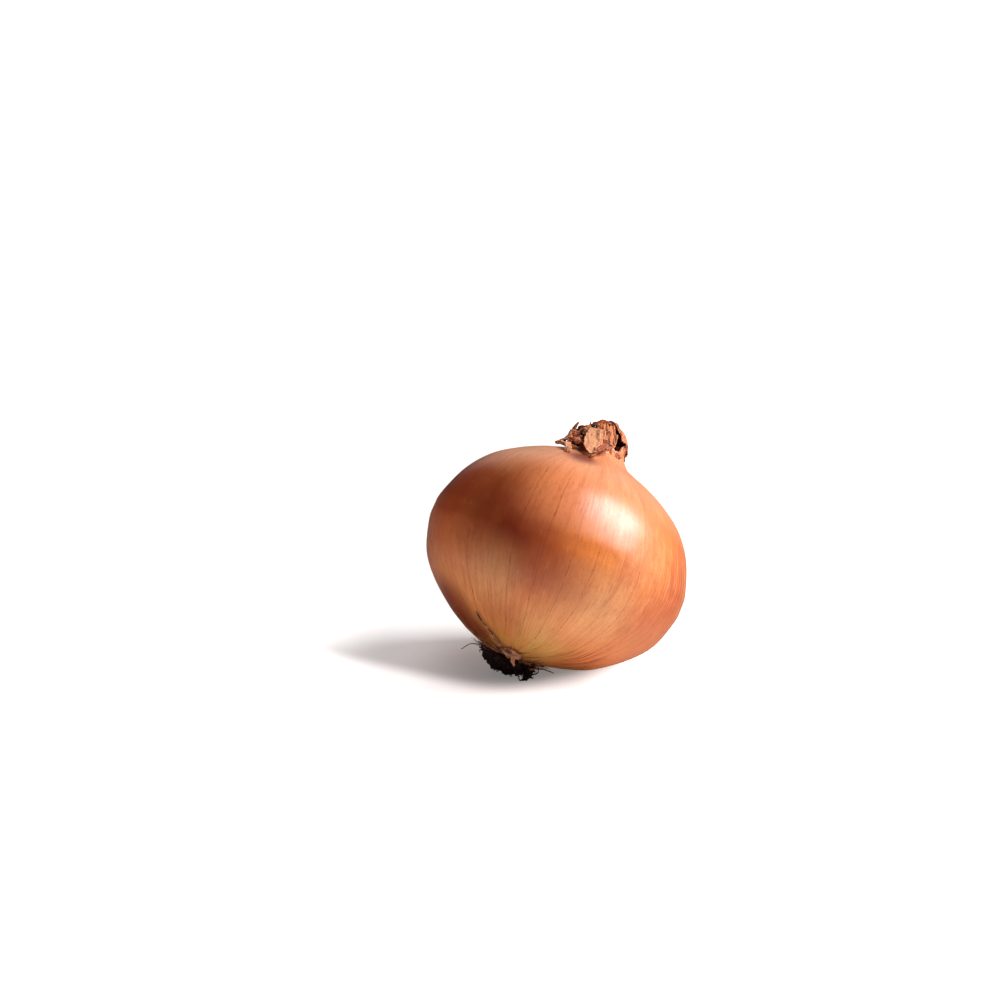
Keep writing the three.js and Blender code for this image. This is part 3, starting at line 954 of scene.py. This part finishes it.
LEAVES = (
    Leaf("neck_core", ("neck_stump",), Slot.DARK_LEAF, DARK, (
        Strip(((-60, 3.0, 34.2), (-60, 3.4, 37.4), (-70, 2.8, 40.4), (-90, 1.6, 42.3)), (6, 6.5, 5, 3),
              (-60, 10), wrap=3.4, folds=3, fold_depth=0.5, crumple=0.9),
        Strip(((40, 2.6, 34.2), (40, 3.2, 37.4), (50, 2.4, 40.2), (60, 1.2, 42.0)), (6, 6.5, 5, 2.4),
              (40, 10), wrap=3.2, folds=3, fold_depth=0.5, crumple=0.9),
        Strip(((170, 2.6, 34.2), (170, 3.6, 37.6), (170, 3.0, 40.4), (170, 1.4, 42.0)), (6, 7, 5, 2.4),
              (170, 10), wrap=3.4, folds=3, fold_depth=0.5, crumple=0.9),
        Strip(((108, 4.0, 34.4), (108, 5.0, 37.4), (104, 4.6, 40.2), (94, 3.2, 42.2)), (7, 8, 8, 6),
              (100, 10), wrap=4.4, folds=2.5, fold_depth=0.3, crumple=0.5),
    ), seed=3.3),
    Leaf("leaf_front_flap_pale", ("leaf_front_flap",), Slot.PALE_LEAF, PALE, (
        Strip(((-33, 8.0, 39.2), (-31, 9.0, 37.6), (-24, 10.8, 35.4), (-17, 13.9, 32.8),
               (-12, 17.0, 30.3)), (3.2, 4.3, 4.8, 4.4, 2.0), (-22, 35), folds=1.2, fold_depth=0.16,
              crumple=0.35, tear=0.16, curl=0.3),
        Strip(((-20, 7.6, 39.6), (-18, 8.6, 37.6), (-14, 10.4, 35.2), (-11, 12.8, 33.0)),
              (2.2, 3.0, 2.8, 1.0), (-15, 25), folds=1.5, fold_depth=0.2, crumple=0.4, tear=0.2),
    ), seed=5.1),
    Leaf("leaf_front_fold_upright", ("leaf_front_fold",), Slot.DRY_LEAF, SKIN_LEAF, (
        Strip(((-4, 7.0, 33.6), (-5, 7.3, 36.2), (-9, 6.8, 38.6), (-14, 5.6, 40.8), (-28, 3.8, 42.6)),
              (6.2, 6.2, 5.8, 5.0, 3.0), (-7, 15), wrap=6.5, folds=2.3, fold_depth=0.24, crumple=0.45,
              tear=0.3),
        Strip(((-30, 7.4, 36.4), (-32, 7.0, 38.6), (-38, 6.4, 40.6), (-46, 5.4, 41.8)),
              (3.0, 3.8, 3.4, 1.6), (-30, 15), wrap=5.0, folds=2.0, fold_depth=0.3, crumple=0.5,
              tear=0.4),
    ), seed=8.2),
    Leaf("leaf_left_ledge_torn", ("leaf_left_ledge",), Slot.DRY_LEAF, DRY, (
        Strip(((-38, 9.4, 33.2), (-48, 12.0, 31.9), (-54.6, 14.7, 31.0), (-57.9, 17.0, 30.2)),
              (4.4, 4.2, 2.8, 0.6), (-30, 45), folds=2.0, fold_depth=0.4, crumple=0.6, tear=0.5),
        Strip(((-50, 8.4, 36.6), (-57, 10.4, 35.8), (-62, 12.2, 34.0), (-59, 13.8, 32.0)),
              (3.6, 4.4, 3.6, 1.8), (-45, 25), folds=2.0, fold_depth=0.45, crumple=0.75, tear=0.6),
        Strip(((-40, 8.8, 35.8), (-43, 10.8, 34.4), (-43, 12.8, 32.4)), (3.6, 4.4, 2.8), (-35, 30),
              folds=2.0, fold_depth=0.45, crumple=0.7, tear=0.6),
        Strip(((-70, 8.8, 37.4), (-74, 10.4, 36.4), (-72, 11.8, 34.8)), (2.6, 3.0, 1.4), (-50, 40),
              crumple=0.7, tear=0.6),
        Strip(((-44, 8.4, 38.8), (-53, 9.6, 37.6), (-57, 10.8, 35.8)), (3.0, 3.8, 2.0), (-45, 25),
              crumple=0.7, tear=0.6),
        Strip(((-59, 11.8, 33.7), (-57.5, 14.9, 32.1), (-57.3, 16.9, 30.3)), (0.9, 0.5, 0.4), (0, 40),
              folds=0.5, fold_depth=0.05, crumple=0.15, tear=0.2),
    ), seed=2.6),
    Leaf("leaf_left_bits_brown", (), Slot.DRY_LEAF, BROWN, (
        Strip(((-50, 9.2, 35.2), (-59, 11.6, 34.6), (-64, 12.8, 33.2)), (2.2, 2.6, 1.2), (-45, 10),
              folds=2.0, fold_depth=0.3, crumple=0.7, tear=0.6),
        Strip(((-38, 9.6, 34.6), (-46, 12.2, 33.4), (-50, 13.8, 31.6)), (2.0, 2.4, 1.2), (-35, 5),
              folds=2.0, fold_depth=0.3, crumple=0.7, tear=0.6),
        Strip(((-56, 9.0, 38.2), (-66, 9.6, 37.6), (-70, 10.4, 36.2)), (1.8, 2.2, 1.0), (-50, 20),
              folds=2.0, fold_depth=0.3, crumple=0.6, tear=0.6),
    ), seed=16.8),
    Leaf("leaf_hanging_strip_forked", ("leaf_hanging_strip",), Slot.PALE_LEAF, PALE, (
        Strip(((-47, 15.0, 31.6), (-41, 17.0, 30.9), (-34, 19.0, 29.5), (-30.4, 20.2, 28.0)),
              (1.9, 1.4, 1.0, 0.3), (-35, 45), fold_depth=0.12, crumple=0.2, tear=0.08),
        Strip(((-44, 15.2, 31.4), (-37, 17.2, 30.6), (-31, 19.0, 29.3), (-27.4, 20.2, 27.9)),
              (1.4, 1.2, 0.8, 0.3), (-30, 45), fold_depth=0.1, crumple=0.2, tear=0.08),
    ), seed=6.4),
    Leaf("leaf_spike_upright", ("leaf_spike",), Slot.DRY_LEAF, BROWN, (
        Strip(((-72, 10.2, 34.6), (-75.5, 10.6, 36.4), (-77, 10.7, 37.8), (-75.5, 10.5, 39.6)),
              (2.0, 1.6, 1.1, 0.3), (0, 10), wrap=0.8, fold_depth=0.12, crumple=0.3, tear=0.35,
              cell=0.22),
    ), seed=1.4),
    Leaf("leaf_dark_curl_rolled", ("leaf_dark_curl",), Slot.DARK_LEAF, DARK, (
        Strip(((-96, 7.4, 36.8), (-76, 8.6, 38.0), (-67, 7.6, 39.5), (-60, 6.2, 40.9)),
              (3.8, 4.2, 4.0, 2.2), (-70, 45), wrap=1.3, folds=1.0, fold_depth=0.2, crumple=0.4, tear=0.5,
              cell=0.28),
        Strip(((-60, 7.6, 37.6), (-66, 8.8, 38.0), (-74, 9.0, 38.4)), (2.2, 2.6, 1.2), (-50, 40), wrap=0.9,
              fold_depth=0.2, crumple=0.4, tear=0.5, cell=0.28),
    ), seed=4.7),
    Leaf("leaf_top_folded_over", ("leaf_top_fold",), Slot.DRY_LEAF, BROWN, (
        Strip(((-98, 5.4, 40.8), (-78, 4.8, 42.4), (-50, 2.8, 43.3), (40, 1.6, 43.4)), (2.8, 3.6, 3.6, 2.2),
              (-20, 60), wrap=2.2, folds=2.0, fold_depth=0.35, crumple=0.6, tear=0.5, cell=0.28),
    ), seed=9.3),
    Leaf("leaf_right_bent_over", ("leaf_right_fold",), Slot.DRY_LEAF, SKIN_LEAF, (
        Strip(((94, 6.2, 34.8), (93, 6.5, 37.2), (90, 6.2, 39.2), (82, 4.9, 41.0), (50, 2.6, 42.6),
               (-60, 1.4, 43.2)), (6.2, 6.4, 6.2, 6.0, 5.0, 2.6), (90, 20), wrap=5.4, folds=2.6,
              fold_depth=0.3, crumple=0.5, tear=0.35),
        Strip(((34, 7.4, 34.9), (46, 7.4, 34.7), (60, 7.2, 35.0)), (0.6, 0.9, 0.5), (45, 35),
              fold_depth=0.1, crumple=0.2, tear=0.6, cell=0.2),
        Strip(((20, 6.9, 36.2), (20, 6.7, 38.4), (16, 6.0, 40.4)), (0.9, 1.2, 0.7), (10, 10), wrap=0.8,
              crumple=0.25, tear=0.4, cell=0.25),
    ), seed=7.7),
    Leaf("leaf_back_right_torn", ("leaf_back_right",), Slot.DRY_LEAF, DRY, (
        Strip(((130, 8.0, 34.0), (130, 7.6, 36.4), (128, 7.0, 39.0), (120, 4.8, 41.8)),
              (7.6, 8.0, 7.0, 3.4), (130, 12), wrap=6.4, folds=3.0, fold_depth=0.35, crumple=0.5,
              tear=0.4),
    ), seed=11.9),
    Leaf("leaf_back_torn", ("leaf_back",), Slot.DRY_LEAF, DRY, (
        Strip(((180, 8.0, 34.0), (180, 7.8, 36.6), (178, 8.2, 38.8), (172, 10.0, 40.8)),
              (6.8, 7.2, 6.4, 2.4), (179, 5), wrap=6.4, folds=3.5, fold_depth=0.35, crumple=0.5,
              tear=0.55),
    ), seed=12.8),
    Leaf("leaf_back_left_torn", ("leaf_back_left",), Slot.DRY_LEAF, DRY, (
        Strip(((-128, 8.0, 34.0), (-126, 7.6, 36.6), (-120, 6.9, 39.2), (-98, 6.0, 41.4)),
              (7.0, 7.2, 6.2, 2.6), (-126, 12), wrap=6.4, folds=3.5, fold_depth=0.35, crumple=0.5,
              tear=0.55),
        Strip(((-160, 7.6, 36.0), (-152, 7.4, 38.4), (-146, 7.0, 40.6)), (4.2, 4.0, 1.8), (-150, 10),
              wrap=5.0, folds=2.0, crumple=0.5, tear=0.6),
    ), seed=13.5),
    Leaf("leaf_front_rolled_edge", (), Slot.DRY_LEAF, BROWN, (
        Strip(((0, 8.8, 35.2), (-5.3, 11.9, 33.2), (-8.1, 15.2, 31.2), (-10.6, 17.9, 29.4)),
              (1.1, 1.5, 1.5, 0.8), (20, 40), wrap=0.42, folds=0.5, fold_depth=0.08, crumple=0.25,
              tear=0.35, cell=0.2),
    ), seed=10.6),
    Leaf("leaf_front_scrap", (), Slot.DRY_LEAF, BROWN, (
        Strip(((5, 8.0, 36.8), (-4.5, 10.4, 34.5), (-9.3, 14.0, 32.1)), (2.8, 3.0, 1.4), (0, 35), wrap=5.0,
              folds=1.6, fold_depth=0.22, crumple=0.35, tear=0.5),
    ), seed=14.2),
    Leaf("root_chip_papery", ("root_chip",), Slot.PALE_LEAF, CHIP, (
        Strip(((-24, 10.6, -33.0), (-19, 10.3, -33.1), (-7.5, 9.8, -33.2), (5.9, 9.5, -33.5)),
              (1.6, 2.2, 2.4, 1.7), (0, -25), folds=1.0, fold_depth=0.15, crumple=0.3, tear=0.3,
              cell=0.22),
        Strip(((-6, 9.8, -33.6), (-4.1, 9.6, -34.8), (3.2, 9.0, -36.3)), (1.7, 1.4, 0.5), (0, -25),
              folds=1.0, fold_depth=0.12, crumple=0.25, tear=0.35, cell=0.22),
    ), seed=15.3),
)


@dataclass
class RootClump:
    """The matted clump of dried roots: a lumpy core, and short curled roots over it. In millimetres."""

    voxel: float = 0.34
    merge: float = 0.001
    lumps: Wave = Wave(0.55, 0.55)
    ridges: Wave = Wave(0.75, 1.3)
    settled: float = 0.25
    lift: float = 2.4
    lift_span: tuple[float, float] = (-13.8, -9.5)
    count: int = 230
    buried: float = 0.3
    rise: tuple[float, float] = (0.1, 0.7)
    close: tuple[float, float] = (0.2, 0.6)
    loose: tuple[float, float] = (0.9, 1.8)
    close_share: float = 0.88
    radius: tuple[float, float] = (0.16, 0.3)
    taper: float = 0.72
    steps: tuple[int, int] = (6, 8)
    step: tuple[float, float] = (0.6, 0.95)
    swirl: float = 1.2
    seed: int = 23

    def core(self) -> bmesh.types.BMesh:
        """The lumpy core, in the place of its CAD node.

        Returns:
            The core's mesh, in metres.
        """
        bm = bmesh.new()
        bm.from_mesh(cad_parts["root_clump"].data)
        bmesh.ops.remove_doubles(bm, verts=bm.verts, dist=self.merge * MM)
        mesh = bpy.data.meshes.new("core")
        bm.to_mesh(mesh)
        bm.free()
        helper = in_scene("core", mesh)
        remesh = helper.modifiers.new("remesh", "REMESH")
        remesh.mode = "VOXEL"
        remesh.voxel_size = self.voxel * MM
        bm = bmesh.new()
        bm.from_mesh(final_mesh(helper))
        bm.normal_update()
        for vert in bm.verts:
            spot = vert.co / MM
            bumps = self.lumps.at(spot) + abs(self.ridges.at(spot)) - self.settled
            vert.co += vert.normal * bumps * MM
            vert.co.z = max(vert.co.z, 0.0) + self.lift * MM * ease(spot.x, *self.lift_span)
        return bm

    def strands(self, core: bmesh.types.BMesh) -> list[list[tuple[Vector, float]]]:
        """Short curled roots that start in the core and stay close to it.

        Args:
            core: The core.

        Returns:
            Each root's points with its radius there.
        """
        rng = random.Random(self.seed)
        tree = BVHTree.FromBMesh(core)
        starts = sorted(core.verts, key=lambda vert: tuple(round(c, 7) for c in vert.co))
        lines = []
        for _ in range(self.count):
            vert = rng.choice(starts)
            point = vert.co - vert.normal * self.buried * MM
            shift = Vector([rng.uniform(-1, 1) for _ in range(3)])
            way = (shift.cross(vert.normal) + vert.normal * rng.uniform(*self.rise)).normalized()
            stray = rng.uniform(*(self.close if rng.random() < self.close_share else self.loose)) * MM
            size = rng.uniform(*self.radius) * MM
            steps = rng.randint(*self.steps)
            line = []
            for k in range(steps):
                line.append((point.copy(), size * (1.0 - self.taper * k / steps)))
                swirl = noise.noise_vector(point / MM * 0.55 + shift * 4.0)
                way = (way + swirl * self.swirl).normalized()
                point = point + way * rng.uniform(*self.step) * MM
                near, _, _, away = tree.find_nearest(point)
                if away > stray:
                    point = near + (point - near).normalized() * stray
                point.z = max(point.z, size)
            lines.append(line)
        return lines

    def build(self, material: bpy.types.Material) -> bpy.types.Object:
        """Makes the clump.

        Args:
            material: Its finish.

        Returns:
            The clump.
        """
        bm = self.core()
        add_tubes(bm, self.strands(bm))
        return seat(new_piece(bm, "root_clump_matted", material), Slot.ROOT_CLUMP, "root_clump")


@dataclass
class RootFringe:
    """Short hair-like roots that spread from the root plate over the skin. In millimetres."""

    count: int = 90
    points: int = 8
    start: tuple[float, float] = (3.0, 7.0)
    reach: tuple[float, float] = (8.0, 13.5)
    radius: tuple[float, float] = (0.13, 0.05)
    bend: float = 24.0
    sunk: tuple[float, float] = (0.3, 0.9)
    dips: tuple[float, ...] = (0.0, 0.0, 0.6, 1.6)
    wobble: float = 0.35
    seed: int = 31

    def strand(self, rng: random.Random, bulb: Bulb) -> list[tuple[Vector, float]]:
        """One hair-like root.

        Args:
            rng: The source of its random shape.
            bulb: The bulb that it lies along.

        Returns:
            Its points in metres, with the radius there.
        """
        skin = [(r * BULB_RADIUS, z * BULB_RADIUS) for r, z in bulb.outline if z < 0]
        azimuth, bend = rng.uniform(-180, 180), rng.uniform(-self.bend, self.bend)
        near, far = rng.uniform(*self.start), rng.uniform(*self.reach)
        sunk, dip = rng.uniform(*self.sunk), rng.choice(self.dips)
        thick, thin = self.radius
        line = []
        for k in range(self.points):
            share = k / (self.points - 1)
            distance = near + (far - near) * share
            height = spread(skin, distance) - sunk - dip * share**2
            point = round_axis(azimuth + bend * share * share, distance, height)
            point.x -= bulb.root_shift
            point += noise.noise_vector(point * 0.6) * self.wobble * share
            placed = ONION_FRAME @ point
            placed.z = max(placed.z, thick * MM)
            line.append((placed, (thick + (thin - thick) * share) * MM))
        return line

    def build(self, material: bpy.types.Material) -> bpy.types.Object:
        """Makes the fringe.

        Args:
            material: Its finish.

        Returns:
            The fringe.
        """
        rng, bulb = random.Random(self.seed), Bulb()
        bm = bmesh.new()
        add_tubes(bm, [self.strand(rng, bulb) for _ in range(self.count)])
        return seat(new_piece(bm, "root_fringe_fine", material), Slot.DRIED_ROOT)


@dataclass(frozen=True)
class FineRoot:
    """One fine dried root along a line of (x, y, z) points in the onion's axes, in millimetres."""

    node: str
    points: tuple[tuple[float, float, float], ...]
    radii: tuple[float, float]
    wobble: float = 0.25
    knots: float = 0.3
    steps: int = 40

    def line(self, seed: float) -> list[tuple[Vector, float]]:
        """The root's points and radii in metres.

        Args:
            seed: What makes this root's bends its own.

        Returns:
            The points with the radius there.
        """
        corners = [Vector(point) for point in self.points]
        start, end = self.radii
        line = []
        for i in range(self.steps + 1):
            share = i / self.steps
            point = on_line(corners, share)
            point = point + noise.noise_vector(point * 0.5 + Vector((seed, seed, 0))) * self.wobble
            knots = 1.0 + self.knots * waver(share * 14.0, seed, 0.0)
            line.append((ONION_FRAME @ point, (start + (end - start) * share) * knots * MM))
        return line

    def build(self, material: bpy.types.Material, seed: float) -> bpy.types.Object:
        """Makes the root.

        Args:
            material: Its finish.
            seed: What makes this root's bends its own.

        Returns:
            The root.
        """
        bm = bmesh.new()
        add_tubes(bm, [self.line(seed)], 2)
        return seat(new_piece(bm, self.node + "_fine", material), Slot.DRIED_ROOT, self.node)


CLUMPED = RootFinish("root clump", "28110F", "6E3C2C", 0.55)
SINGLE = RootFinish("fine root", "43201A", "B0704C", 0.42)

ROOTS = (
    FineRoot("root_upper_long", ((-1.6, -4.6, -34.3), (-3.9, -8.6, -33.0), (-9.9, -14.0, -30.2),
                                 (-13.6, -15.7, -28.6), (-16.5, -17.2, -26.9)), (0.17, 0.24)),
    FineRoot("root_upper_short", ((-2.2, -6.4, -34.6), (-5.6, -10.2, -32.7), (-10.4, -13.6, -30.7)),
             (0.18, 0.12)),
    FineRoot("root_left", ((-10.4, 1.2, -32.8), (-13.8, 0.9, -34.2), (-15.7, 0.9, -36.7)), (0.17, 0.12)),
    FineRoot("root_right", ((5.4, -1.4, -34.4), (7.4, -1.0, -33.3), (9.2, -0.6, -32.6), (10.9, 1.2, -32.4),
                           (12.6, 3.2, -32.1)), (0.3, 0.13)),
    FineRoot("root_back_long", ((-2.6, 12.0, -34.8), (-4.5, 15.5, -33.0), (-6.5, 19.5, -31.0),
                                (-7.5, 22.5, -30.2)), (0.28, 0.14)),
    FineRoot("root_back_short", ((-6.0, 11.2, -34.2), (-7.6, 13.6, -33.0), (-8.8, 15.6, -31.8)),
             (0.26, 0.14)),
)


@dataclass
class Studio:
    """The floor, the lights and the camera. In metres and degrees, with the sensor in millimetres."""

    elevation: float = 14.0
    distance: float = 1.7
    picture_width: float = 0.2985
    bulb_in_picture: tuple[float, float] = (0.0575, 0.0572)
    sensor_width: float = 36.0
    sight: tuple[float, float] = (0.01, 20.0)
    floor_radius: float = 3.0
    floor_sunk: float = 0.00002
    key_direction: tuple[float, float, float] = (0.738, -0.02, 0.675)
    key_distance: float = 1.6
    key_size: tuple[float, float] = (0.88, 0.93)
    key_power: float = 50.0
    back_place: tuple[float, float, float] = (0.2, 1.3, 0.75)
    back_target: tuple[float, float, float] = (0.0, 0.0, 0.05)
    back_size: tuple[float, float] = (1.6, 1.2)
    back_power: float = 3.0
    fill: float = 0.035
    sky: tuple[float, float, float, float] = (1.0, 1.0, 1.0, 1.0)

    def floor(self) -> None:
        """The pale floor."""
        bm = bmesh.new()
        bmesh.ops.create_circle(bm, cap_ends=True, segments=128, radius=self.floor_radius)
        bmesh.ops.translate(bm, verts=bm.verts, vec=(0.0, 0.0, -self.floor_sunk))
        new_piece(bm, "pale_floor", FloorFinish().make())

    def light(self, name: str, place: Vector, target: Vector, size: tuple[float, float],
              power: float) -> None:
        """A rectangular soft light.

        Args:
            name: Its name.
            place: Where it stands.
            target: What it points at.
            size: Its width and height.
            power: Its power in watts.
        """
        lamp = bpy.data.lights.new(name, "AREA")
        lamp.shape = "RECTANGLE"
        lamp.size, lamp.size_y = size
        lamp.energy = power
        holder = in_scene(name, lamp)
        holder.location = place
        holder.rotation_euler = (target - place).to_track_quat("-Z", "Y").to_euler()
        holder.visible_camera = False

    def world(self) -> None:
        """Dim surroundings that look white to the camera."""
        world = bpy.data.worlds.new("studio")
        world.use_nodes = True
        tree = world.node_tree
        tree.nodes.clear()
        path = tree.nodes.new("ShaderNodeLightPath")
        seen = tree.nodes.new("ShaderNodeMix")
        seen.inputs[2].default_value = self.fill
        seen.inputs[3].default_value = 1.0
        tree.links.new(path.outputs["Is Camera Ray"], seen.inputs[0])
        sky = tree.nodes.new("ShaderNodeBackground")
        sky.inputs[0].default_value = self.sky
        tree.links.new(seen.outputs[0], sky.inputs[1])
        out = tree.nodes.new("ShaderNodeOutputWorld")
        tree.links.new(sky.outputs[0], out.inputs[0])
        bpy.context.scene.world = world

    def camera(self) -> None:
        """A long lens at the photograph's angle."""
        angle = math.radians(self.elevation)
        back = Vector((0.0, -math.cos(angle), math.sin(angle)))
        up = Vector((0.0, math.sin(angle), math.cos(angle)))
        right, high = (share * self.picture_width for share in self.bulb_in_picture)
        aim = BULB_MIDDLE + Vector((-right, 0.0, 0.0)) + up * high
        lens = bpy.data.cameras.new("camera")
        lens.sensor_width = self.sensor_width
        lens.lens = lens.sensor_width * self.distance / self.picture_width
        lens.clip_start, lens.clip_end = self.sight
        holder = in_scene("camera", lens)
        holder.location = aim + back * self.distance
        holder.rotation_euler = (-back).to_track_quat("-Z", "Y").to_euler()
        bpy.context.scene.camera = holder

    def build(self) -> None:
        """Sets up the studio."""
        self.floor()
        self.world()
        self.camera()
        key = Vector(self.key_direction).normalized() * self.key_distance
        self.light("key", BULB_MIDDLE + key, BULB_MIDDLE, self.key_size, self.key_power)
        back, target = Vector(self.back_place), Vector(self.back_target)
        self.light("back", back, target, self.back_size, self.back_power)
        bpy.context.scene.view_settings.view_transform = "Standard"


def main() -> None:
    """Builds the onion and its studio, piece by piece."""
    logging.basicConfig(level=logging.INFO, format="%(message)s")
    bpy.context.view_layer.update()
    noise.seed_set(CREASE_SEED)
    Studio().build()
    Bulb().build(SkinFinish().make())
    materials = {finish: finish.make() for finish in dict.fromkeys(leaf.finish for leaf in LEAVES)}
    for leaf in LEAVES:
        leaf.build(materials)
    RootClump().build(CLUMPED.make())
    single = SINGLE.make()
    RootFringe().build(single)
    for seed, root in enumerate(ROOTS, 1):
        root.build(single, float(seed))


if __name__ == "__main__":
    main()
